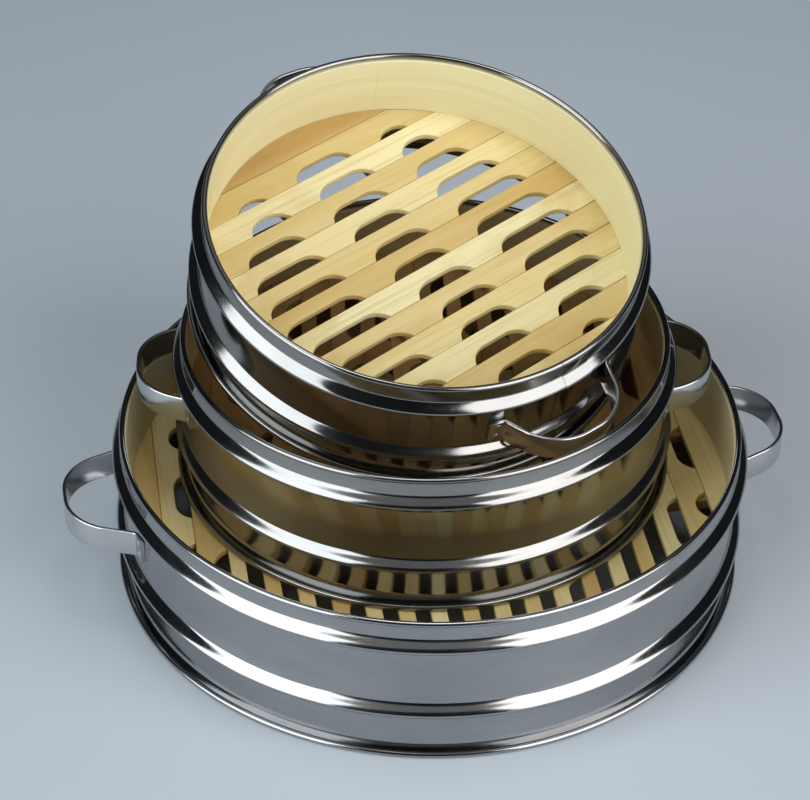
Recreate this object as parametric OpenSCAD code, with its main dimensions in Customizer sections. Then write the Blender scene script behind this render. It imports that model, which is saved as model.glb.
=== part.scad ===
// Nested set of three round steamer baskets: steel band, bamboo lining, bamboo slat floor.
// Units are millimetres. The origin is the middle of the large basket's foot, on the ground.
// +Z is up and +X runs along the large basket's two handles.

/* [Large basket] */
// Radius over the two beads of the large basket
large_bead_radius = 140; // [138:0.5:142]
// Height of the large basket
large_height = 71.5; // [70:0.5:74]
// Height of the large basket's floor, at the top of the slats
large_floor_height = 36; // [35:0.5:36]
// Height of the middle of the large basket's handles
large_handle_height = 42.6; // [40:0.2:44]
// Width of one floor slat in the large basket
large_slat_pitch = 13.4; // [13.2:0.05:13.6]
// Turn of the large basket's floor, away from square to its handles
large_floor_turn = -2.5; // [-4:0.5:4]

/* [Medium basket] */
// Radius over the two beads of the medium basket
medium_bead_radius = 111; // [110:0.5:112]
// Height of the medium basket
medium_height = 68; // [66:0.5:68]
// Height of the medium basket's floor above its own foot
medium_floor_height = 37.5; // [36:0.5:37.5]
// Height of the middle of the medium basket's handles above its own foot
medium_handle_height = 45.2; // [42:0.2:45.2]
// Width of one floor slat in the medium basket
medium_slat_pitch = 13.5; // [13.3:0.05:13.7]
// Turn of the medium basket, seen from above
medium_turn = -8.5; // [-10:0.5:-7]

/* [Small basket] */
// Radius over the two beads of the small basket
small_bead_radius = 99.5; // [98:0.5:99.5]
// Height of the small basket
small_height = 60; // [58:0.5:61]
// Height of the small basket's floor above its own foot
small_floor_height = 26.3; // [25:0.1:28]
// Height of the middle of the small basket's handles above its own foot
small_handle_height = 29.4; // [28.4:0.2:34]
// Width of one floor slat in the small basket
small_slat_pitch = 13.78; // [13.4:0.02:13.8]
// Turn of the small basket's floor, away from square to its handles
small_floor_turn = 1.5; // [-3:0.5:3]
// How far the small basket's floor is set towards its right handle
small_floor_offset = 2.8; // [0:0.2:3]
// Turn of the small basket's left handle, away from straight across from the right one
small_left_handle_turn = -8; // [-9:0.5:0]
// Turn of the small basket about its own axis
small_turn = -62; // [-63:0.5:-61]
// Lean of the small basket, resting in the medium one
small_lean = 16.5; // [16.3:0.1:16.6]
// Way the small basket leans, seen from above
small_lean_way = -79.8; // [-80.5:0.1:-79]

/* [Steel band] */
// Thickness of the sheet
sheet = 0.6; // [0.5:0.05:0.8]
// How far the two beads stand out from the flat wall
bead_out = 4; // [3.6:0.1:4]
// Height of one bead
bead_height = 7; // [6:0.5:8]
// Radius of the rolled top edge
curl_radius = 1.25; // [1.1:0.05:1.3]
// Radius of the rolled foot edge
foot_curl_radius = 1.4; // [1.2:0.1:1.6]

/* [Bamboo] */
// Thickness of the lining hoop
liner_thickness = 2; // [1.6:0.1:2.2]
// Thickness of the hoop under the floor
base_hoop_thickness = 4; // [3:0.5:5]
// Thickness of one slat
slat_thickness = 3.2; // [2.8:0.1:3.4]
// Gap between neighbouring slats
slat_gap = 0.2; // [0.1:0.05:0.3]
// How deep the steam notches cut into a slat's edge
notch_depth = 6.6; // [6:0.2:7.2]
// Radius of the cutter that runs the notches, seen at their ends
notch_radius = 10.5; // [9:0.5:12]
// Width of the uncut bridge between two notches
bridge_width = 16.5; // [15:0.5:18]
// Length of the middle notch
middle_notch = 31.4; // [29:0.2:33]
// Uncut length at each end of a slat
slat_end = 17.7; // [16:0.1:19]

/* [Handles] */
// How far the large basket's handles reach past its beads
large_handle_reach = 22.5; // [21:0.5:24]
// How far the medium basket's handles reach past its beads
medium_handle_reach = 16; // [14:0.5:17]
// How far the small basket's handles reach past its beads
small_handle_reach = 17.5; // [16:0.5:18]
// Width over the large basket's handle, where its arms meet the wall
large_handle_width = 62; // [58:1:64]
// Width over the medium basket's handle, where its arms meet the wall
medium_handle_width = 57; // [54:1:60]
// Width over the small basket's handle, where its arms meet the wall
small_handle_width = 59; // [56:1:60]
// Outside radius of a handle's round corners
handle_corner = 24; // [22:0.5:24]
// Straight length between a handle's two round corners
handle_flat = 6; // [4:1:8]
// How far a handle tips up, in degrees
handle_tip = 2.5; // [0:0.5:3]
// Height of the handle strap
strap_height = 12.6; // [11:0.2:12.6]
// Thickness of the handle strap
strap_thickness = 1.6; // [1.4:0.1:2]
// Length of the tab that holds each arm to the wall
tab_length = 5; // [4:0.5:10]

/* [Nesting] */
// Where the medium basket stands inside the large one, to the right
medium_x = 1.4; // [0.5:0.1:1.5]
// Where the medium basket stands inside the large one, to the back
medium_y = 20.7; // [20:0.1:21]
// Where the small basket's foot is centred, to the right
small_x = -0.8; // [-1:0.1:-0.6]
// Where the small basket's foot is centred, to the back
small_y = 42.7; // [42.5:0.1:42.8]
// Height of the centre of the small basket's foot
small_z = 102.95; // [102.9:0.05:103.5]

/* [Hidden] */
$fn = 180;
// Clearance between a resting basket and the floor below it
rest_gap = 0.3;
// Clearance between pieces of one basket
fit_gap = 0.05;
// The flat wall's outside, measured in from the beads
wall_in = bead_out;
pale_bamboo = [0.93, 0.84, 0.58];
gold_bamboo = [0.87, 0.74, 0.45];
warm_bamboo = [0.80, 0.60, 0.33];
cream_bamboo = [0.95, 0.88, 0.66];
steel = [0.74, 0.75, 0.77];

// Each basket is one list: bead radius, height, floor height, slat pitch, slat count,
// lower bead's middle, handle height, handle reach, handle width, floor turn, floor offset.
large = [large_bead_radius, large_height, large_floor_height, large_slat_pitch, 18,
  24, large_handle_height, large_handle_reach, large_handle_width, large_floor_turn, 0];
medium = [medium_bead_radius, medium_height, medium_floor_height, medium_slat_pitch, 14,
  22, medium_handle_height, medium_handle_reach, medium_handle_width, 0, 0];
small = [small_bead_radius, small_height, small_floor_height, small_slat_pitch, 12,
  17, small_handle_height, small_handle_reach, small_handle_width, small_floor_turn,
  small_floor_offset];

function bead_radius(b) = b[0];
function height(b) = b[1];
function floor_top(b) = b[2];
function pitch(b) = b[3];
function slat_count(b) = b[4];
function low_bead(b) = b[5];
function high_bead(b) = height(b) - 12.5;
function handle_height(b) = b[6];
function reach(b) = b[7];
function handle_half(b) = b[8] / 2;
function floor_turn(b) = b[9];
function floor_offset(b) = b[10];
function wall_radius(b) = bead_radius(b) - wall_in;
function liner_outside(b) = wall_radius(b) - sheet - 0.15;
function liner_inside(b) = liner_outside(b) - liner_thickness;
function slat_bottom(b) = floor_top(b) - slat_thickness;
// The left edge of slat k, counted from 1
function slat_left(b, k) = (k - 1 - slat_count(b) / 2) * pitch(b) + floor_offset(b);
// Half the clear floor length at a distance x from the middle
function half_chord(b, x) = sqrt(max(0, pow(liner_inside(b), 2) - x * x));

// Half of one bead's outline, stepped from its lower edge to its upper edge
function bead_outside(r, z) = [for (t = [0 : 12 : 180])
  [r + bead_out * sin(t), z - bead_height / 2 * cos(t)]];
function bead_inside(r, z) = [for (t = [180 : -12 : 0])
  [r - sheet + bead_out * sin(t), z - (bead_height / 2 - sheet) * cos(t)]];

// Put each basket where it stands in the set.
module place_large() {
  children();
}

module place_medium() {
  translate([medium_x, medium_y, large_floor_height + rest_gap])
    rotate([0, 0, medium_turn])
      children();
}

module place_small() {
  translate([small_x, small_y, small_z])
    rotate([0, 0, small_lean_way])
      rotate([0, small_lean, 0])
        rotate([0, 0, small_turn - small_lean_way])
          children();
}

// The sheet steel band: rolled foot, groove, two beads and a rolled top edge.
module shell(b) {
  r = wall_radius(b);
  groove = r - 1.6;
  foot_out = bead_radius(b) - foot_curl_radius;
  curl_middle = r - curl_radius + 0.3;
  rotate_extrude()
    union() {
      // groove above the foot, widening to the lower wall
      polygon(concat(
        [[groove, 0], [groove, 4.2], [r, 5.4]],
        bead_outside(r, low_bead(b)),
        bead_outside(r, high_bead(b)),
        [[r, height(b) - curl_radius], [r - sheet, height(b) - curl_radius]],
        bead_inside(r, high_bead(b)),
        bead_inside(r, low_bead(b)),
        [[r - sheet, 5.8], [groove - sheet, 4.6], [groove - sheet, 0]]
      ));
      // flat foot flange with its rolled edge
      translate([groove - sheet, 0])
        square([foot_out - groove + sheet, 0.7]);
      intersection() {
        translate([foot_out, foot_curl_radius])
          circle(foot_curl_radius, $fn = 24);
        translate([foot_out - 3, 0])
          square([6, 2 * foot_curl_radius]);
      }
      // rolled top edge
      translate([curl_middle, height(b) - curl_radius])
        circle(curl_radius, $fn = 24);
      // turned-out lower lip of the wall
      polygon([[r - 0.2, 5.2], [r + 0.5, 5.2], [r + 0.5, 5.8], [r - 0.2, 6.6]]);
    }
}

// A plain bamboo hoop between two heights.
module hoop(outside, thickness, low, high) {
  translate([0, 0, low])
    linear_extrude(high - low)
      difference() {
        circle(outside);
        circle(outside - thickness);
      }
}

module liner(b) {
  hoop(liner_outside(b), liner_thickness, floor_top(b) + fit_gap,
    height(b) - 2 * curl_radius - 0.3);
}

module base_hoop(b) {
  hoop(liner_outside(b), base_hoop_thickness, 6.6, slat_bottom(b) - fit_gap);
}

// One steam notch along the edge at x, run with a round cutter from one height to another.
module notch(x, from, to) {
  run_in = sqrt(pow(notch_radius, 2) - pow(notch_radius - notch_depth, 2));
  half = min(run_in, (to - from) / 2);
  middle = sqrt(pow(notch_radius, 2) - half * half);
  for (y = [from + half, to - half])
    translate([x + middle, y])
      circle(notch_radius, $fn = 96);
  if (to - from > 2 * run_in)
    translate([x - notch_depth, from + run_in])
      square([notch_depth + 5, to - from - 2 * run_in]);
}

// The notches along the right edge of a slat: one in the middle, one or two on each side.
// The outer ones on the longest slats are split in two.
module notch_row(b, k) {
  x = slat_left(b, k) + pitch(b);
  half = middle_notch / 2;
  start = half + bridge_width;
  stop = max(start + 16.5, half_chord(b, x - pitch(b) / 2) - slat_end);
  long = stop > 104;
  first_stop = long ? 58 : stop;
  notch(x, -half, half);
  for (side = [0, 1])
    mirror([0, side, 0]) {
      notch(x, start, first_stop);
      if (long)
        notch(x, first_stop + bridge_width, stop);
    }
}

// One floor slat with its ends cut to the round of the band; its notches sit a little
// along from the middle, by shift.
module slat(b, k, shift = 0) {
  translate([0, 0, slat_bottom(b)])
    rotate([0, 0, floor_turn(b)])
      linear_extrude(slat_thickness)
        difference() {
          intersection() {
            circle(liner_outside(b));
            translate([slat_left(b, k) + slat_gap / 2, -bead_radius(b)])
              square([pitch(b) - slat_gap, 2 * bead_radius(b)]);
          }
          translate([0, shift])
            notch_row(b, k);
        }
}

// The plain round-backed piece that closes the floor at one end; side is -1 or 1.
module end_piece(b, side) {
  edge = side > 0 ? slat_left(b, slat_count(b) + 1) + slat_gap / 2 : slat_left(b, 1) - slat_gap / 2;
  translate([0, 0, slat_bottom(b)])
    rotate([0, 0, floor_turn(b)])
      linear_extrude(slat_thickness)
        intersection() {
          circle(liner_outside(b));
          translate([side > 0 ? edge : edge - pitch(b) * 2, -bead_radius(b)])
            square([pitch(b) * 2, 2 * bead_radius(b)]);
        }
}

// Two strips under the floor, below the uncut bridges.
module battens(b) {
  middle = middle_notch / 2 + bridge_width / 2;
  translate([0, 0, slat_bottom(b) - fit_gap - 5])
    rotate([0, 0, floor_turn(b)])
      linear_extrude(5)
        intersection() {
          circle(liner_outside(b) - base_hoop_thickness - 0.1);
          for (y = [-middle, middle])
            translate([-bead_radius(b), y - 5])
              square([2 * bead_radius(b), 10]);
        }
}

// Plan of a D-shaped handle drawn in by an inset: two slanting arms that run into two
// round corners. The arms start at the wall and are carried 3 mm into it.
module handle_plan(b, inset) {
  half = handle_half(b);
  far = bead_radius(b) + reach(b);
  wall = sqrt(pow(wall_radius(b), 2) - half * half);
  middle = [far - handle_corner, handle_flat / 2];
  along = [wall, half] - middle;
  slant = atan2(along[1], along[0]) - acos(min(1, handle_corner / norm(along)));
  out = [cos(slant), sin(slant)];
  root = [wall, half] + 3 * [-out[1], out[0]] - inset * out;
  turned = middle + (handle_corner - inset) * out;
  tip = [far - inset, handle_flat / 2];
  polygon([[root[0], -root[1]], [turned[0], -turned[1]], [tip[0], -tip[1]], tip, turned, root]);
  for (side = [-1, 1])
    translate([middle[0], side * middle[1]])
      circle(handle_corner - inset, $fn = 120);
}

// A handle bent from one flat strap, with a tab against the wall at each arm.
module handle(b) {
  seat = wall_radius(b) + fit_gap;
  start_angle = asin((handle_half(b) - strap_thickness) / (seat + 1));
  tab_angle = (tab_length + strap_thickness) / seat * 180 / PI;
  difference() {
    translate([seat, 0, handle_height(b)])
      rotate([0, -handle_tip, 0])
        translate([-seat, 0, -strap_height / 2])
          linear_extrude(strap_height)
            difference() {
              handle_plan(b, 0);
              handle_plan(b, strap_thickness);
            }
    cylinder(r = seat, h = 2 * height(b));
  }
  for (side = [0, 1])
    mirror([0, side, 0])
      translate([0, 0, handle_height(b) - strap_height / 2 + 1])
        rotate([0, 0, start_angle])
          rotate_extrude(angle = tab_angle)
            translate([seat, 0])
              square([1.1, strap_height - 2]);
}

// Large basket
module large_shell() {
  color(steel)
    place_large()
      shell(large);
}

module large_liner() {
  color(cream_bamboo)
    place_large()
      liner(large);
}

module large_base_hoop() {
  color(gold_bamboo)
    place_large()
      base_hoop(large);
}

module large_battens() {
  color(gold_bamboo)
    place_large()
      battens(large);
}

module large_handle_left() {
  color(steel)
    place_large()
      rotate([0, 0, 180])
        handle(large);
}

module large_handle_right() {
  color(steel)
    place_large()
      handle(large);
}

module large_end_left() {
  color(warm_bamboo)
    place_large()
      end_piece(large, -1);
}

module large_end_right() {
  color(pale_bamboo)
    place_large()
      end_piece(large, 1);
}

// Medium basket
module medium_shell() {
  color(steel)
    place_medium()
      shell(medium);
}

module medium_liner() {
  color(cream_bamboo)
    place_medium()
      liner(medium);
}

module medium_base_hoop() {
  color(gold_bamboo)
    place_medium()
      base_hoop(medium);
}

module medium_battens() {
  color(gold_bamboo)
    place_medium()
      battens(medium);
}

module medium_handle_left() {
  color(steel)
    place_medium()
      rotate([0, 0, 180])
        handle(medium);
}

module medium_handle_right() {
  color(steel)
    place_medium()
      handle(medium);
}

// The medium basket's whole floor, each slat its own solid
module medium_slats() {
  color(pale_bamboo)
    place_medium() {
      for (k = [1 : slat_count(medium)])
        slat(medium, k);
      end_piece(medium, -1);
      end_piece(medium, 1);
    }
}

// Small basket
module small_shell() {
  color(steel)
    place_small()
      shell(small);
}

module small_liner() {
  color(cream_bamboo)
    place_small()
      liner(small);
}

module small_base_hoop() {
  color(gold_bamboo)
    place_small()
      base_hoop(small);
}

module small_battens() {
  color(gold_bamboo)
    place_small()
      battens(small);
}

module small_handle_left() {
  color(steel)
    place_small()
      rotate([0, 0, 180 + small_left_handle_turn])
        handle(small);
}

module small_handle_right() {
  color(steel)
    place_small()
      handle(small);
}

module small_end_left() {
  color(warm_bamboo)
    place_small()
      end_piece(small, -1);
}

module small_end_right() {
  color(pale_bamboo)
    place_small()
      end_piece(small, 1);
}

// The large basket's floor slats, from its left end to its right end.
module large_slat_01() {
  color(pale_bamboo)
    place_large()
      slat(large, 1, 2);
}

module large_slat_02() {
  color(pale_bamboo)
    place_large()
      slat(large, 2, -4);
}

module large_slat_03() {
  color(gold_bamboo)
    place_large()
      slat(large, 3, -1);
}

module large_slat_04() {
  color(pale_bamboo)
    place_large()
      slat(large, 4, 1);
}

module large_slat_05() {
  color(warm_bamboo)
    place_large()
      slat(large, 5);
}

module large_slat_06() {
  color(pale_bamboo)
    place_large()
      slat(large, 6, 1.5);
}

module large_slat_07() {
  color(gold_bamboo)
    place_large()
      slat(large, 7, -1);
}

module large_slat_08() {
  color(gold_bamboo)
    place_large()
      slat(large, 8, 0.5);
}

module large_slat_09() {
  color(pale_bamboo)
    place_large()
      slat(large, 9);
}

module large_slat_10() {
  color(warm_bamboo)
    place_large()
      slat(large, 10, 1);
}

module large_slat_11() {
  color(pale_bamboo)
    place_large()
      slat(large, 11, -1.5);
}

module large_slat_12() {
  color(gold_bamboo)
    place_large()
      slat(large, 12, 0.5);
}

module large_slat_13() {
  color(pale_bamboo)
    place_large()
      slat(large, 13, 1);
}

module large_slat_14() {
  color(pale_bamboo)
    place_large()
      slat(large, 14);
}

module large_slat_15() {
  color(warm_bamboo)
    place_large()
      slat(large, 15, -1);
}

module large_slat_16() {
  color(gold_bamboo)
    place_large()
      slat(large, 16, 2);
}

module large_slat_17() {
  color(pale_bamboo)
    place_large()
      slat(large, 17, 4);
}

module large_slat_18() {
  color(gold_bamboo)
    place_large()
      slat(large, 18, 6);
}

// The small basket's floor slats, from its left end to its right end.
module small_slat_01() {
  color(gold_bamboo)
    place_small()
      slat(small, 1, 1);
}

module small_slat_02() {
  color(pale_bamboo)
    place_small()
      slat(small, 2, 3.4);
}

module small_slat_03() {
  color(gold_bamboo)
    place_small()
      slat(small, 3, 0.4);
}

module small_slat_04() {
  color(pale_bamboo)
    place_small()
      slat(small, 4, 0.9);
}

module small_slat_05() {
  color(pale_bamboo)
    place_small()
      slat(small, 5, 1.5);
}

module small_slat_06() {
  color(warm_bamboo)
    place_small()
      slat(small, 6, 1.1);
}

module small_slat_07() {
  color(pale_bamboo)
    place_small()
      slat(small, 7, 3.6);
}

module small_slat_08() {
  color(gold_bamboo)
    place_small()
      slat(small, 8, 5.2);
}

module small_slat_09() {
  color(pale_bamboo)
    place_small()
      slat(small, 9, 4.2);
}

module small_slat_10() {
  color(pale_bamboo)
    place_small()
      slat(small, 10, 0.4);
}

module small_slat_11() {
  color(gold_bamboo)
    place_small()
      slat(small, 11, 1.5);
}

module small_slat_12() {
  color(pale_bamboo)
    place_small()
      slat(small, 12);
}

// One line draws each node.
large_shell();
large_liner();
large_base_hoop();
large_battens();
large_handle_left();
large_handle_right();
large_end_left();
large_slat_01();
large_slat_02();
large_slat_03();
large_slat_04();
large_slat_05();
large_slat_06();
large_slat_07();
large_slat_08();
large_slat_09();
large_slat_10();
large_slat_11();
large_slat_12();
large_slat_13();
large_slat_14();
large_slat_15();
large_slat_16();
large_slat_17();
large_slat_18();
large_end_right();
medium_shell();
medium_liner();
medium_base_hoop();
medium_battens();
medium_handle_left();
medium_handle_right();
medium_slats();
small_shell();
small_liner();
small_base_hoop();
small_battens();
small_handle_left();
small_handle_right();
small_end_left();
small_slat_01();
small_slat_02();
small_slat_03();
small_slat_04();
small_slat_05();
small_slat_06();
small_slat_07();
small_slat_08();
small_slat_09();
small_slat_10();
small_slat_11();
small_slat_12();
small_end_right();
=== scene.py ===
import math
import random

import bmesh
import bpy
from mathutils import Matrix, Vector


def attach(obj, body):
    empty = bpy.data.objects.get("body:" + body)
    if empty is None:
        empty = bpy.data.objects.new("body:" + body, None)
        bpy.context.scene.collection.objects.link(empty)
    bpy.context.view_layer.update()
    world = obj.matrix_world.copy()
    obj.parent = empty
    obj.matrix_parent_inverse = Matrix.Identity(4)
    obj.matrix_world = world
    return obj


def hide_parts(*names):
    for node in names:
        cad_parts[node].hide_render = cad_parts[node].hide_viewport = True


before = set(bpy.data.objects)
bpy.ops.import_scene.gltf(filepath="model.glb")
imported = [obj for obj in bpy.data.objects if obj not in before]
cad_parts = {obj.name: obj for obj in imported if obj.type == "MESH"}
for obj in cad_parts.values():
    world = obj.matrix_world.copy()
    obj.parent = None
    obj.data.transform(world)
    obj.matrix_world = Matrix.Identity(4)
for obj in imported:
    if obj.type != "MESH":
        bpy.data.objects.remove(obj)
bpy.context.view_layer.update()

MM = 0.001
rng = random.Random(28)

# ---------------------------------------------------------------- sizes, in millimetres
# R is a basket's bead radius, H its height and bead the middle of its lower bead. floor is the
# top of its slats, and pitch and slats are their spacing and number. The floor is turned by turn
# degrees and set to the right by offset. The handles' middle is grip above the foot, they stand
# out past the beads by reach, and half is half their width at the wall. back is how many degrees
# the left one is turned from straight across.
BASKETS = {
    "large": dict(R=140.0, H=71.5, floor=36.0, pitch=13.4, slats=18, bead=24.0,
                  grip=42.6, reach=22.5, half=31.0, back=0.0, turn=-2.5, offset=0.0),
    "medium": dict(R=111.0, H=68.0, floor=37.5, pitch=13.5, slats=14, bead=22.0,
                   grip=45.2, reach=16.0, half=28.5, back=0.0, turn=0.0, offset=0.0),
    "small": dict(R=99.5, H=60.0, floor=26.3, pitch=13.78, slats=12, bead=17.0,
                  grip=29.4, reach=17.5, half=29.5, back=-8.0, turn=1.5, offset=2.8),
}
# the steel band
SHEET = 0.6
BEAD_OUT = 4.0
BEAD_HALF = 3.5  # half a bead's height on the hidden side
BEAD_FOOT = 4.4  # half its height outside, where it runs into the wall
BEAD_DROP = 12.5  # the upper bead's middle, below the top edge
GROOVE = 1.6  # how far the groove above the foot is set in
CURL = 1.25
FOOT_CURL = 1.4
FLANGE = 0.75
LAP = 14.0  # how far the sheet's two ends lap over each other
LAP_PROUD = 0.28
# the bamboo
FIT = 0.15  # the hoops' clearance inside the sheet
LINER = 2.0
LINER_LAP = 16.0
LINER_PROUD = 0.12
HOOP = 4.0
HOOP_FOOT = 6.6
SLAT = 3.2
SLAT_FIT = 0.02  # the floor's clearance inside the sheet, past the hoops'
SLIT = 0.1  # half the slit between two slats
EDGE = 0.35  # the slats' rounded edges
UNEVEN = 0.22  # the most that a slat lies below the highest
BATTEN = 23.95  # the strips under the floor, each side of the middle
BATTEN_W = 10.0
BATTEN_T = 5.0
BATTEN_EDGE = 0.4
# the steam notches
CUTTER = 10.5
RUN_IN = 9.75  # how far along a notch the cutter takes to run in or out
NOTCH_HALF = 15.7  # half the middle notch
BRIDGE = 16.5  # the wood left between two notches
REST = 17.7  # the wood left at the end of a slat
SPLIT = 58.0  # where the first outer notch ends on a slat that has two a side
LONG = 104.0  # a slat has two a side if its notches reach past this
# the handles
STRAP_H = 12.6
STRAP_T = 1.6
STRAP_EDGE = 0.55
CORNER = 24.0
FLAT = 3.0  # half the straight stretch between the corners
TIP = math.radians(2.5)
BEND = 3.2  # radius of the bend from an arm to its tab
TAB = 5.0
TAB_ENDS = (0.84, 0.92, 0.96)  # the strap's height at a tab's first points, which rounds it off
SPOT = 1.5  # radius of a spot weld
SPOT_APART = 3.0  # from a weld to the strap's middle line
SPOT_ALONG = 0.58  # how far along its tab, as a share
SPOT_FLAT = 0.2
# where the joins are, in degrees round from the right handle
RIM_SEAM = -2.5
RIM_GAP = 0.2
LAP_START = -1.9
LINER_SEAM = 154.4
# how many steps a full turn is drawn in
ROUND = 288
HOOP_ROUND = 160


def turn(z=0.0, y=0.0):
    return Matrix.Rotation(math.radians(z), 4, "Z") @ Matrix.Rotation(math.radians(y), 4, "Y")


# where the middle of each basket's foot rests, and how the basket is turned and leans
LEAN = 16.5
LEAN_TURN = -79.8  # the bearing that the small basket leans along
SMALL_TURN = -62.0
PLACE = {
    "large": Matrix.Identity(4),
    "medium": Matrix.Translation(Vector((1.4, 20.7, 36.3)) * MM) @ turn(-8.5),
    "small": Matrix.Translation(Vector((-0.8, 42.7, 102.95)) * MM)
    @ turn(LEAN_TURN) @ turn(0, LEAN) @ turn(SMALL_TURN - LEAN_TURN),
}


# ---------------------------------------------------------------- small tools
def link(obj):
    bpy.context.scene.collection.objects.link(obj)
    return obj


def mesh_object(name, verts, faces, sharp=35.0):
    """A smooth-shaded mesh from points in millimetres, with edges over the angle kept sharp."""
    me = bpy.data.meshes.new(name)
    me.from_pydata([tuple(c * MM for c in v) for v in verts], [], faces)
    me.validate()
    me.update()
    me.shade_smooth()
    me.set_sharp_from_angle(angle=math.radians(sharp))
    return link(bpy.data.objects.new(name, me))


def fix_normals(obj):
    bm = bmesh.new()
    bm.from_mesh(obj.data)
    bmesh.ops.recalc_face_normals(bm, faces=bm.faces)
    bm.to_mesh(obj.data)
    bm.free()


def join(name, objs):
    """One object from several."""
    bpy.ops.object.select_all(action="DESELECT")
    for o in objs:
        o.select_set(True)
    bpy.context.view_layer.objects.active = objs[0]
    bpy.ops.object.join()
    objs[0].name = name
    objs[0].data.name = name
    return objs[0]


def lathe(name, profile, steps, start=0.0, stop=360.0):
    """Turns a closed outline of (radius, height) about Z. Part turns get end caps."""
    full = abs(stop - start - 360.0) < 1e-6
    rings = steps if full else steps + 1
    verts = []
    for i in range(rings):
        a = math.radians(start + (stop - start) * i / steps)
        c, s = math.cos(a), math.sin(a)
        verts += [(r * c, r * s, z) for r, z in profile]
    n = len(profile)
    faces = []
    for i in range(steps):
        j = (i + 1) % rings
        for k in range(n):
            m = (k + 1) % n
            faces.append((i * n + k, j * n + k, j * n + m, i * n + m))
    if not full:
        faces.append(tuple(range(n - 1, -1, -1)))
        faces.append(tuple((rings - 1) * n + k for k in range(n)))
    obj = mesh_object(name, verts, faces)
    fix_normals(obj)
    return obj


def bevel(obj, width):
    mod = obj.modifiers.new("edge", "BEVEL")
    mod.width = width * MM
    mod.segments = 2
    mod.limit_method = "ANGLE"
    mod.angle_limit = math.radians(40.0)


def ring_arc(cx, cz, r, a0, a1, n):
    """Points round an arc in n steps, from angle a0 to a1."""
    return [(cx + r * math.cos(math.radians(a0 + (a1 - a0) * i / n)),
             cz + r * math.sin(math.radians(a0 + (a1 - a0) * i / n))) for i in range(n + 1)]


def tone(obj, value):
    """A per-piece number, read by the wood materials: 0 is the palest. It holds random tone and, on
    the large and medium baskets, painted shade.
    """
    layer = obj.data.attributes.new("tone", "FLOAT", "POINT")
    layer.data.foreach_set("value", [value] * len(obj.data.vertices))


# ---------------------------------------------------------------- materials
class Nodes:
    """A material and short ways to add its nodes."""

    def __init__(self, name):
        self.mat = bpy.data.materials.new(name)
        self.mat.use_nodes = True
        self.tree = self.mat.node_tree
        self.tree.nodes.clear()
        self.out = self.add("ShaderNodeOutputMaterial")
        self.bsdf = self.add("ShaderNodeBsdfPrincipled")
        self.link(self.bsdf.outputs[0], self.out.inputs[0])

    def add(self, kind, **values):
        node = self.tree.nodes.new(kind)
        for key, value in values.items():
            setattr(node, key, value)
        return node

    def link(self, a, b):
        self.tree.links.new(a, b)

    def coords(self, scale):
        """Each basket's own coordinates in metres, kept from before it was set in its place."""
        own = self.add("ShaderNodeAttribute", attribute_name="own_place")
        mapping = self.add("ShaderNodeMapping")
        mapping.inputs["Scale"].default_value = scale
        self.link(own.outputs["Vector"], mapping.inputs["Vector"])
        return mapping.outputs[0]

    def noise(self, vector, scale, detail, rough):
        node = self.add("ShaderNodeTexNoise")
        node.inputs["Scale"].default_value = scale
        node.inputs["Detail"].default_value = detail
        node.inputs["Roughness"].default_value = rough
        self.link(vector, node.inputs["Vector"])
        return node.outputs["Fac"]

    def span(self, value, low, high, out_low=0.0, out_high=1.0):
        node = self.add("ShaderNodeMapRange")
        node.inputs["From Min"].default_value = low
        node.inputs["From Max"].default_value = high
        node.inputs["To Min"].default_value = out_low
        node.inputs["To Max"].default_value = out_high
        self.link(value, node.inputs["Value"])
        return node.outputs[0]

    def ramp(self, value, stops):
        node = self.add("ShaderNodeValToRGB")
        band = node.color_ramp
        while len(band.elements) < len(stops):
            band.elements.new(0.5)
        for element, (pos, colour) in zip(band.elements, stops):
            element.position = pos
            element.color = (*colour, 1.0)
        self.link(value, node.inputs[0])
        return node.outputs[0]

    def mix(self, factor, a, b):
        node = self.add("ShaderNodeMix", data_type="RGBA")
        for value, index in ((factor, 0), (a, 6), (b, 7)):
            if isinstance(value, bpy.types.NodeSocket):
                self.link(value, node.inputs[index])
            elif isinstance(value, tuple):
                node.inputs[index].default_value = (*value, 1.0)
            else:
                node.inputs[index].default_value = value
        return node.outputs[2]

    def math(self, op, a, b):
        node = self.add("ShaderNodeMath", operation=op)
        for value, index in ((a, 0), (b, 1)):
            if isinstance(value, bpy.types.NodeSocket):
                self.link(value, node.inputs[index])
            else:
                node.inputs[index].default_value = value
        return node.outputs[0]

    def bump(self, height, strength, distance):
        node = self.add("ShaderNodeBump")
        node.inputs["Strength"].default_value = strength
        node.inputs["Distance"].default_value = distance
        self.link(height, node.inputs["Height"])
        self.link(node.outputs[0], self.bsdf.inputs["Normal"])


def steel_material(name, tint, rough=(0.08, 0.17), grain=0.3):
    """Polished sheet: slight smears in its shine and a faint unevenness from forming."""
    n = Nodes(name)
    smear = n.noise(n.coords((1, 1, 3)), 22.0, 4.0, 0.6)
    fine = n.noise(n.coords((1, 1, 6)), 420.0, 2.0, 0.5)
    n.bsdf.inputs["Metallic"].default_value = 1.0
    dull = tuple(c * 0.86 for c in tint)
    bright = tuple(c * 1.05 for c in tint)
    colour = n.ramp(smear, [(0.3, dull), (0.7, bright)])
    n.link(colour, n.bsdf.inputs["Base Color"])
    mixed = n.math("ADD", n.math("MULTIPLY", smear, 1.0 - grain), n.math("MULTIPLY", fine, grain))
    n.link(n.span(mixed, 0.35, 0.65, rough[0], rough[1]), n.bsdf.inputs["Roughness"])
    waves = n.noise(n.coords((1, 1, 0.6)), 28.0, 1.0, 0.4)
    n.bump(waves, 0.12, 0.0016)
    return n.mat


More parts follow.
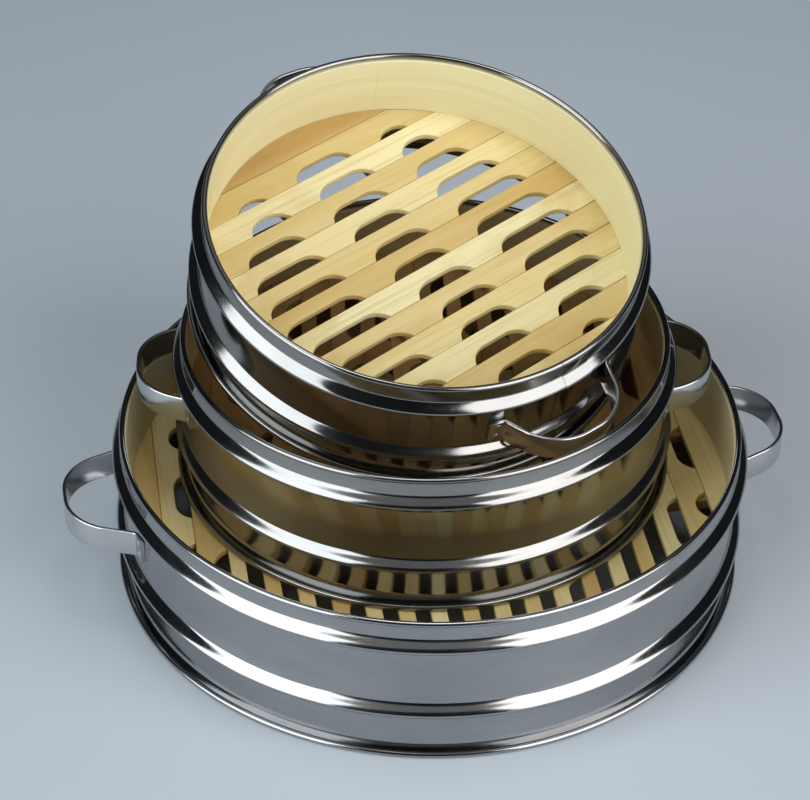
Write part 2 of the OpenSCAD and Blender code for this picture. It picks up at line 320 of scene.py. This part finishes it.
def slat_material():
    """Planed bamboo: long fibres along Y, cloudy stains, one tone a slat, which on the large and
    medium floors also carries painted shade.
    """
    n = Nodes("bamboo_slat")
    attr = n.add("ShaderNodeAttribute", attribute_name="tone").outputs["Fac"]
    broad = n.noise(n.coords((90, 5, 90)), 1.0, 3.0, 0.55)
    fibre = n.noise(n.coords((700, 14, 700)), 1.0, 4.0, 0.6)
    cloud = n.noise(n.coords((30, 16, 30)), 1.0, 3.0, 0.6)
    base = n.ramp(attr, [
        (0.0, (0.90, 0.82, 0.48)),
        (0.3, (0.79, 0.64, 0.29)),
        (0.6, (0.66, 0.47, 0.17)),
        (0.85, (0.52, 0.31, 0.11)),
        (1.0, (0.30, 0.17, 0.06)),
    ])
    paler = n.math("MULTIPLY", n.span(broad, 0.4, 0.7, 0.0, 0.5), n.span(attr, 0.0, 1.0, 1.0, 0.1))
    light = n.mix(paler, base, (0.92, 0.84, 0.52))
    dark = n.mix(n.span(fibre, 0.5, 0.75, 0.0, 0.42), light, (0.50, 0.32, 0.10))
    warm = n.mix(n.span(cloud, 0.52, 0.72, 0.0, 0.6), dark, (0.62, 0.40, 0.13))
    n.link(warm, n.bsdf.inputs["Base Color"])
    n.link(n.span(fibre, 0.3, 0.7, 0.38, 0.58), n.bsdf.inputs["Roughness"])
    n.bsdf.inputs["Specular IOR Level"].default_value = 0.35
    n.bump(fibre, 0.25, 0.0004)
    return n.mat


def liner_material():
    """Smooth pale bamboo sheet with faint fibres running round the hoop."""
    n = Nodes("bamboo_liner")
    streak = n.noise(n.coords((6, 6, 260)), 1.0, 3.0, 0.55)
    cloud = n.noise(n.coords((12, 12, 14)), 1.0, 2.0, 0.5)
    colour = n.ramp(streak, [(0.3, (0.77, 0.70, 0.41)), (0.7, (0.84, 0.80, 0.53))])
    colour = n.mix(n.span(cloud, 0.45, 0.8, 0.0, 0.5), colour, (0.72, 0.62, 0.31))
    # the tone number darkens a whole liner towards brown: painted shade on the large and medium
    # baskets
    attr = n.add("ShaderNodeAttribute", attribute_name="tone")
    colour = n.mix(attr.outputs["Fac"], colour, (0.34, 0.20, 0.08))
    n.link(colour, n.bsdf.inputs["Base Color"])
    n.link(n.span(streak, 0.3, 0.7, 0.34, 0.5), n.bsdf.inputs["Roughness"])
    n.bsdf.inputs["Specular IOR Level"].default_value = 0.4
    n.bump(streak, 0.2, 0.0003)
    return n.mat


def frame_wood_material():
    """Plain bamboo for the pieces under the floors."""
    n = Nodes("bamboo_frame")
    streak = n.noise(n.coords((30, 30, 400)), 1.0, 3.0, 0.6)
    cloud = n.noise(n.coords((25, 25, 25)), 1.0, 2.0, 0.5)
    colour = n.ramp(streak, [(0.3, (0.28, 0.16, 0.06)), (0.7, (0.40, 0.25, 0.10))])
    colour = n.mix(n.span(cloud, 0.4, 0.8, 0.0, 0.5), colour, (0.22, 0.12, 0.05))
    n.link(colour, n.bsdf.inputs["Base Color"])
    n.bsdf.inputs["Roughness"].default_value = 0.6
    n.bump(streak, 0.3, 0.0005)
    return n.mat


def floor_material():
    """A pale sheet of paper, darker to the back as painted shade for the light falling off."""
    n = Nodes("floor")
    place = n.add("ShaderNodeTexCoord").outputs["Object"]
    speck = n.noise(place, 3.0, 2.0, 0.5)
    parts = n.add("ShaderNodeSeparateXYZ")
    n.link(place, parts.inputs[0])
    # the two ramps paint the floor darker towards the back: painted shade, the front ramp lit and the
    # back one shaded
    near = n.ramp(speck, [(0.3, (0.55, 0.61, 0.67)), (0.7, (0.57, 0.63, 0.69))])
    painted_shade_back = n.ramp(speck, [(0.3, (0.38, 0.44, 0.50)), (0.7, (0.40, 0.46, 0.52))])
    n.link(n.mix(n.span(parts.outputs["Y"], -0.3, 0.7), near, painted_shade_back), n.bsdf.inputs["Base Color"])
    n.bsdf.inputs["Roughness"].default_value = 0.55
    return n.mat


# the medium and small bands are the same steel with a darker tint: painted shade for the shaded
# insides that their walls reflect
STEEL = {
    "large": steel_material("steel_band_large", (0.385, 0.388, 0.395)),
    "medium": steel_material("steel_band_medium_shaded", (0.32, 0.318, 0.315)),
    "small": steel_material("steel_band_small_shaded", (0.32, 0.318, 0.315)),
}
STRAP = steel_material("steel_strap", (0.58, 0.585, 0.595), rough=(0.17, 0.22), grain=0.05)
SLAT_MAT = slat_material()
LINER_MAT = liner_material()
FRAME_MAT = frame_wood_material()


def dress(obj, material, size, node):
    """Sets a finished piece in its basket's place, standing for its CAD node."""
    mesh = obj.data
    mesh.materials.clear()
    mesh.materials.append(material)
    own = [0.0] * (3 * len(mesh.vertices))
    mesh.vertices.foreach_get("co", own)
    mesh.attributes.new("own_place", "FLOAT_VECTOR", "POINT").data.foreach_set("vector", own)
    mesh.transform(PLACE[size])
    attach(obj, size)
    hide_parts(node)


# ---------------------------------------------------------------- steel band
def wall_radius(b):
    return b["R"] - BEAD_OUT


def bead_line(r, z, steps=14):
    """Half an oval bulge, from the top down, for the hidden side of the sheet."""
    angles = [math.pi * i / steps for i in range(steps, -1, -1)]
    return [(r + BEAD_OUT * math.sin(t) ** 0.9, z - (BEAD_HALF - SHEET) * math.cos(t))
            for t in angles]


def bead_wave(r, z, steps=28):
    """The outside of a rolled bead, running smoothly out of the wall and back into it."""
    return [(r + BEAD_OUT * max(0.0, math.cos(math.pi / 2 * t)) ** 1.6, z + BEAD_FOOT * t)
            for t in (2 * i / steps - 1 for i in range(steps + 1))]


def build_shell(size):
    b = BASKETS[size]
    r = wall_radius(b)
    low, high, top = b["bead"], b["H"] - BEAD_DROP, b["H"]
    groove = r - GROOVE
    foot = b["R"] - FOOT_CURL
    # outside from the foot up, with a small ridge over the groove, then inside back down
    ridge = [(groove, 0.4), (groove, 4.0), (groove + 0.25, 4.5), (r + 0.3, 5.25),
             (r + 0.45, 5.5), (r + 0.4, 5.75), (r, 6.4)]
    wall = [(r, 7.2)] + bead_wave(r, low) + [(r, (low + high) / 2)] + bead_wave(r, high)
    wall += [(r, top - CURL - 0.6)]
    back = r - SHEET
    inner = [(back, top - CURL), (back, high + BEAD_HALF + 1.0)]
    inner += bead_line(back, high)
    inner += [(back, high - BEAD_HALF - 1.0), (back, low + BEAD_HALF + 1.0)]
    inner += bead_line(back, low)
    inner += [(back, 6.6), (groove - SHEET, 4.8), (groove - SHEET, 0.4)]
    sheet = lathe("sheet", ridge + wall + [(r - 0.1, top - CURL)] + inner, ROUND)
    # the rolled top edge, open by a hair where its ends meet
    curl = ring_arc(r - CURL + 0.3, top - CURL, CURL, 0, 345, 23)
    curl = lathe("curl", curl, ROUND, RIM_SEAM, RIM_SEAM + 360.0 - RIM_GAP)
    flange = [(groove - SHEET, 0.0), (foot, 0.0)]
    flange += ring_arc(foot, FOOT_CURL, FOOT_CURL, -80, 190, 18)
    flange += [(foot - FOOT_CURL * 0.8, FLANGE), (groove - SHEET, FLANGE)]
    flange = lathe("flange", flange, ROUND)
    # the lap where the two ends of the sheet meet, behind the right handle
    lap = [(x + LAP_PROUD, z) for x, z in wall] + [(x - 0.2, z) for x, z in wall[::-1]]
    lap = lathe("lap", lap, 10, LAP_START, LAP_START + math.degrees(LAP / r))
    shell = join(size + "_shell", [sheet, curl, flange, lap])
    dress(shell, STEEL[size], size, size + "_shell")


# ---------------------------------------------------------------- bamboo
def hoop_radius(b):
    """The outside of the lining and the lower hoop."""
    return wall_radius(b) - SHEET - FIT


def floor_radius(b):
    return hoop_radius(b) - SLAT_FIT


def build_liner(size):
    b = BASKETS[size]
    outer = hoop_radius(b)
    inner = outer - LINER
    low, high = b["floor"] + 0.05, b["H"] - 2 * CURL - 0.35
    profile = [(inner, low), (inner, high - 0.5)]
    profile += ring_arc(inner + 0.5, high - 0.5, 0.5, 170, 90, 4)
    profile += [(outer - 0.2, high), (outer, high - 0.2), (outer, low)]
    hoop = lathe("hoop", profile, ROUND)
    # the shaved end that laps over the inside of the hoop
    proud = inner - LINER_PROUD
    lap = [(inner + 0.5, low), (proud, low + 0.1), (proud, high - 0.4), (inner + 0.5, high - 0.1)]
    lap = lathe("lap", lap, 8, LINER_SEAM - math.degrees(LINER_LAP / inner), LINER_SEAM)
    liner = join(size + "_liner", [hoop, lap])
    tone(liner, LINER_SHADE[size])
    dress(liner, LINER_MAT, size, size + "_liner")


def notch_spans(b, k):
    """(from, to) of each steam notch along the right edge of slat k, lowest first."""
    inner = hoop_radius(b) - LINER
    middle = (k - 0.5 - b["slats"] / 2) * b["pitch"] + b["offset"]
    half_chord = math.sqrt(max(0.0, inner ** 2 - middle * middle))
    start = NOTCH_HALF + BRIDGE
    stop = max(start + BRIDGE, half_chord - REST)
    first = SPLIT if stop > LONG else stop
    spans = [(-NOTCH_HALF, NOTCH_HALF), (start, first), (-first, -start)]
    if stop > LONG:
        spans += [(first + BRIDGE, stop), (-stop, -first - BRIDGE)]
    return sorted(spans)


def notched_edge(b, k, right, shift):
    """Points up the right edge of slat k, round each end of its notches."""
    steps = 10
    edge = []
    for low, high in notch_spans(b, k):
        run = min(RUN_IN, (high - low) / 2)
        mid = math.sqrt(CUTTER ** 2 - run ** 2)
        wide = math.acos((mid + SLIT) / CUTTER)
        for y, side in ((low + run, -1), (high - run, 1)):
            for i in range(steps + 1):
                t = wide * (steps - i if side < 0 else i) / steps
                edge.append((right + mid - CUTTER * math.cos(t),
                             y + shift + side * CUTTER * math.sin(t)))
    return edge


def round_end(radius, start, stop, side):
    """Points along the floor's round edge between two x, on the near (-1) or far (1) side."""
    steps = 8
    xs = [start + (stop - start) * i / steps for i in range(steps + 1)]
    return [(x, side * math.sqrt(radius ** 2 - x * x)) for x in xs]


def slat_outline(b, k, shift):
    """The round-ended outline of slat k, anticlockwise, with cutter-run notches on its right."""
    radius = floor_radius(b)
    left = (k - 1 - b["slats"] / 2) * b["pitch"] + b["offset"]
    right = left + b["pitch"]
    x0, x1 = left + SLIT, right - SLIT
    edge = [(x, y) for x, y in notched_edge(b, k, right, shift) if x * x + y * y < radius ** 2]
    # where the floor's round edge cuts a notch short, the end runs to the notch's own side
    y1 = math.sqrt(max(0.0, radius ** 2 - x1 ** 2))
    (first_x, first_y), (last_x, last_y) = edge[0], edge[-1]
    first = x1 if first_y > -y1 + 0.05 and first_x > x1 - 0.01 else first_x
    last = x1 if last_y < y1 - 0.05 and last_x > x1 - 0.01 else last_x
    return round_end(radius, x0, first, -1) + edge + round_end(radius, last, x0, 1)


def turned(b, pts):
    """Floor points, turned with the basket's floor."""
    c, s = math.cos(math.radians(b["turn"])), math.sin(math.radians(b["turn"]))
    return [(x * c - y * s, x * s + y * c) for x, y in pts]


def plank(name, outline, low, high, shade):
    """A flat piece with this outline between two heights."""
    n = len(outline)
    verts = [(x, y, low) for x, y in outline] + [(x, y, high) for x, y in outline]
    faces = [tuple(range(n - 1, -1, -1)), tuple(range(n, 2 * n))]
    faces += [(k, (k + 1) % n, n + (k + 1) % n, n + k) for k in range(n)]
    obj = mesh_object(name, verts, faces)
    fix_normals(obj)
    tone(obj, shade)
    return obj


# how dark each slat is, over and over across the large and the medium floor
TONES = [0.05, 0.42, 0.12, 0.5, 0.25, 0.62, 0.1, 0.3, 0.0,
         0.48, 0.2, 0.35, 0.08, 0.55, 0.15, 0.4, 0.02, 0.3]
# and across the small one, with its two end pieces
SMALL_TONES = [0.8, 0.52, 0.10, 0.50, 0.22, 0.45, 0.62, 0.06, 0.42, 0.30, 0.14, 0.48, 0.2, 0.1]
# what each floor's tones are raised by and scaled by; the large and medium floors' raise is painted
# shade for their shaded insides, the scale spreads the random tone
TONE_AND_SHADE = {"large": (0.22, 0.9), "medium": (0.9, 0.15), "small": (0.0, 1.0)}
# how far each liner is darkened towards brown: painted shade for the shaded insides of the large and
# medium baskets
LINER_SHADE = {"large": 0.22, "medium": 0.6, "small": 0.0}

# how far each slat's notches sit along from the middle of its floor
SHIFTS = {
    "large": {1: 2, 2: -4, 3: -1, 4: 1, 6: 1.5, 7: -1, 8: 0.5, 10: 1, 11: -1.5, 12: 0.5, 13: 1,
              15: -1, 16: 2, 17: 4, 18: 6},
    "medium": {},
    "small": {1: 1, 2: 3.4, 3: 0.4, 4: 0.9, 5: 1.5, 6: 1.1, 7: 3.6, 8: 5.2, 9: 4.2, 10: 0.4, 11: 1.5},
}


def floor_tones(size):
    """A tone for each floor piece, the left end piece's first and the right one's last, with the
    basket's painted shade added.
    """
    tones = SMALL_TONES
    if size != "small":
        tones = [0.45] + [TONES[k % len(TONES)] for k in range(BASKETS[size]["slats"])] + [0.2]
    base, scale = TONE_AND_SHADE[size]
    return [base + scale * t for t in tones]


def end_outline(b, side):
    """The plain piece left of the first slat (-1) or right of the last (1)."""
    radius = floor_radius(b)
    steps = 14
    edge = b["slats"] / 2 * b["pitch"] + side * b["offset"] + SLIT
    xs = [edge + (radius - edge) * i / steps for i in range(steps + 1)]
    upper = [(side * x, math.sqrt(max(0.0, radius ** 2 - x * x))) for x in xs]
    return upper + [(x, -y) for x, y in upper[:-1]][::-1]


def build_slats(size):
    b = BASKETS[size]
    top = b["floor"] - 0.02
    low = b["floor"] - SLAT
    tones = floor_tones(size)
    made = []
    for side, label, shade in ((-1, "end_left", tones[0]), (1, "end_right", tones[-1])):
        made.append((label, plank("end", turned(b, end_outline(b, side)), low, top, shade)))
    for k in range(1, b["slats"] + 1):
        outline = turned(b, slat_outline(b, k, SHIFTS[size].get(k, 0)))
        drop = rng.uniform(0.0, UNEVEN)
        made.append((f"slat_{k:02d}", plank("slat", outline, low + 0.02, top - drop, tones[k])))
    if size == "medium":
        made = [("slats", join("medium_slats", [o for _, o in made]))]
    for label, o in made:
        o.name = o.data.name = f"{size}_{label}"
        bevel(o, EDGE)
        dress(o, SLAT_MAT, size, f"{size}_{label}")


def build_under(size):
    """The hoop that holds the floor up, and the two strips across under the slats."""
    b = BASKETS[size]
    outer = hoop_radius(b)
    inner = outer - HOOP
    low, high = HOOP_FOOT, b["floor"] - SLAT - 0.05
    profile = [(inner + 0.5, low), (outer - 0.5, low), (outer, low + 0.5), (outer, high),
               (inner, high), (inner, low + 0.5)]
    hoop = lathe(size + "_base_hoop", profile, HOOP_ROUND)
    dress(hoop, FRAME_MAT, size, size + "_base_hoop")
    inside = inner - 0.1
    steps = 6
    strips = []
    for middle in (-BATTEN, BATTEN):
        ys = [middle - BATTEN_W / 2 + BATTEN_W * i / steps for i in range(steps + 1)]
        pts = [(math.sqrt(inside ** 2 - y ** 2), y) for y in ys]
        pts += [(-x, y) for x, y in pts[::-1]]
        strips.append(plank("strip", turned(b, pts), high - BATTEN_T, high, 0.5))
    both = join(size + "_battens", strips)
    bevel(both, BATTEN_EDGE)
    dress(both, FRAME_MAT, size, size + "_battens")


# ---------------------------------------------------------------- handles
def heading(angle):
    return Vector((math.cos(angle), math.sin(angle)))


def handle_path(b):
    """Centre line of the strap in plan, from one tab's end round to the other's."""
    seat = wall_radius(b) + 0.1 + STRAP_T / 2
    wall = Vector((math.sqrt(wall_radius(b) ** 2 - b["half"] ** 2), b["half"]))
    # the arm runs straight from the wall, and touches the corner's arc
    middle = Vector((b["R"] + b["reach"] - CORNER, FLAT))
    along = wall - middle
    slant = math.atan2(along.y, along.x) - math.acos(min(1.0, CORNER / along.length))
    out = heading(slant)
    arm = Vector((-out.y, out.x))
    foot = wall - out * STRAP_T / 2
    # where the arm's middle crosses the tab's middle
    dot = foot.dot(arm)
    foot = foot + arm * (-dot - math.sqrt(dot * dot - foot.length_squared + seat * seat))
    # the bend between the two
    root = math.atan2(foot.y, foot.x)
    tab = Vector((-math.sin(root), math.cos(root)))
    angle = math.acos(max(-1.0, min(1.0, tab.dot(-arm))))
    reach = BEND / math.tan(angle / 2)
    centre = foot + (tab - arm).normalized() * (BEND / math.sin(angle / 2))
    start, stop = foot + tab * reach - centre, foot - arm * reach - centre
    tab_end = TAB + STRAP_T
    tab_steps, bend_steps, corner_steps = 3, 8, 20
    path = [seat * heading(root + (tab_end - (tab_end - reach) * i / tab_steps) / seat)
            for i in range(tab_steps)]
    path += [centre + BEND * start.normalized().slerp(stop.normalized(), i / bend_steps)
             for i in range(bend_steps + 1)]
    path += [middle + (CORNER - STRAP_T / 2) * heading(slant * (1 - i / corner_steps))
             for i in range(corner_steps + 1)]
    return path + [Vector((p.x, -p.y)) for p in path[::-1]], root, seat


def strap_section():
    """The strap's cross-section with rounded corners, as (across, up)."""
    across, up = STRAP_T / 2 - STRAP_EDGE, STRAP_H / 2 - STRAP_EDGE
    section = []
    for quarter, (x, z) in enumerate(((1, 1), (-1, 1), (-1, -1), (1, -1))):
        section += ring_arc(x * across, z * up, STRAP_EDGE, 90 * quarter, 90 * quarter + 90, 3)
    return section


def build_strap(b, path, seat):
    section = strap_section()
    verts = []
    n = len(section)
    last = len(path) - 1
    for i, p in enumerate(path):
        d = (path[min(i + 1, last)] - path[max(i - 1, 0)]).normalized()
        side = Vector((d.y, -d.x))
        from_end = min(i, last - i)
        tall = TAB_ENDS[from_end] if from_end < len(TAB_ENDS) else 1.0
        for across, up in section:
            q = p + side * across
            rise = max(0.0, q.x - seat) * math.sin(TIP)
            verts.append((q.x, q.y, b["grip"] + rise + up * tall))
    faces = []
    for i in range(last):
        for k in range(n):
            m = (k + 1) % n
            faces.append((i * n + k, (i + 1) * n + k, (i + 1) * n + m, i * n + m))
    faces.append(tuple(range(n - 1, -1, -1)))
    faces.append(tuple(last * n + k for k in range(n)))
    strap = mesh_object("strap", verts, faces, 50.0)
    fix_normals(strap)
    return strap


def build_spots(b, root, seat):
    """Two flat spot welds on each tab."""
    face = seat + STRAP_T / 2
    a = root + SPOT_ALONG * TAB / seat
    flat = Matrix.Diagonal((SPOT_FLAT, 1, 1, 1))
    spots = []
    for side in (-1, 1):
        for dz in (-SPOT_APART, SPOT_APART):
            c = Vector((face * math.cos(a), side * face * math.sin(a), b["grip"] + dz))
            bpy.ops.mesh.primitive_uv_sphere_add(segments=16, ring_count=8, radius=SPOT * MM)
            spot = bpy.context.object
            facing = Matrix.Rotation(side * a, 4, "Z")
            spot.data.transform(Matrix.Translation(c * MM) @ facing @ flat)
            spot.data.shade_smooth()
            spots.append(spot)
    return spots


def build_handle(size, label):
    b = BASKETS[size]
    path, root, seat = handle_path(b)
    handle = join(f"{size}_{label}", [build_strap(b, path, seat)] + build_spots(b, root, seat))
    if label == "handle_left":
        handle.data.transform(Matrix.Rotation(math.radians(180.0 + b["back"]), 4, "Z"))
    dress(handle, STRAP, size, f"{size}_{label}")


for size in BASKETS:
    build_shell(size)
    build_liner(size)
    build_under(size)
    build_slats(size)
    build_handle(size, "handle_left")
    build_handle(size, "handle_right")


# ---------------------------------------------------------------- floor, light and camera
VIEW_TURN = -12.5  # the camera stands in front, this far round from -Y
PANEL_BEARING = 55  # from the camera's own bearing, in degrees
PANEL_AWAY = 2.4
PANEL_WIDTH = 2.4
PANEL_HEIGHT = 3.84

bpy.ops.mesh.primitive_plane_add(size=14.0, location=(0, 0, 0))
ground = bpy.context.object
ground.name = "ground"
ground.data.materials.append(floor_material())


def panel(name, bearing, power, colour):
    """An upright soft box just off the floor, at this bearing from where the camera stands."""
    out = heading(math.radians(-90 + VIEW_TURN + bearing)).to_3d()
    data = bpy.data.lights.new(name, "AREA")
    data.shape = "RECTANGLE"
    data.size, data.size_y = PANEL_WIDTH, PANEL_HEIGHT
    data.energy = power
    data.color = colour
    lamp = link(bpy.data.objects.new(name, data))
    lamp.location = out * PANEL_AWAY + Vector((0.0, 0.02, 0.04 + PANEL_HEIGHT / 2))
    lamp.rotation_euler = (-out).to_track_quat("-Z", "Y").to_euler()


panel("soft_left", -PANEL_BEARING, 92, (0.93, 0.98, 1.0))
panel("soft_right", PANEL_BEARING, 90, (1.0, 0.985, 0.965))

# a small lamp overhead for the rims, and a wide weak one for the floor further out
for name, width, height, power in (("soft_top", 0.7, 2.1, 5.5), ("soft_wide", 6.0, 4.0, 26)):
    data = bpy.data.lights.new(name, "AREA")
    data.shape = "SQUARE"
    data.size, data.energy = width, power
    link(bpy.data.objects.new(name, data)).location = (0.0, 0.1, height)

world = bpy.data.worlds.new("world")
world.use_nodes = True
background = world.node_tree.nodes["Background"]
background.inputs["Color"].default_value = (0.55, 0.60, 0.66, 1.0)
background.inputs["Strength"].default_value = 0.03
bpy.context.scene.world = world
bpy.context.scene.view_settings.view_transform = "Standard"

# the camera looks along +Y and down, in radians, and is then turned with the view
YAW, PITCH, ROLL = -0.0134, 0.6481, 0.0151
EYE = Vector((0.0, -0.8375, 0.7134))
LENS = 106.67
level = Vector((math.sin(YAW), math.cos(YAW), 0.0))
forward = level * math.cos(PITCH) - Vector((0.0, 0.0, math.sin(PITCH)))
right = Vector((math.cos(YAW), -math.sin(YAW), 0.0))
up = right.cross(forward)
rolled_right = math.cos(ROLL) * right + math.sin(ROLL) * up
rolled_up = -math.sin(ROLL) * right + math.cos(ROLL) * up
axes = Matrix((rolled_right, rolled_up, -forward)).transposed().to_4x4()
camera_data = bpy.data.cameras.new("camera")
camera_data.sensor_width = 36.0
camera_data.lens = LENS
camera_data.clip_start = 0.05
camera_data.clip_end = 30.0
camera = link(bpy.data.objects.new("camera", camera_data))
camera.matrix_world = turn(VIEW_TURN) @ Matrix.Translation(EYE) @ axes
bpy.context.scene.camera = camera
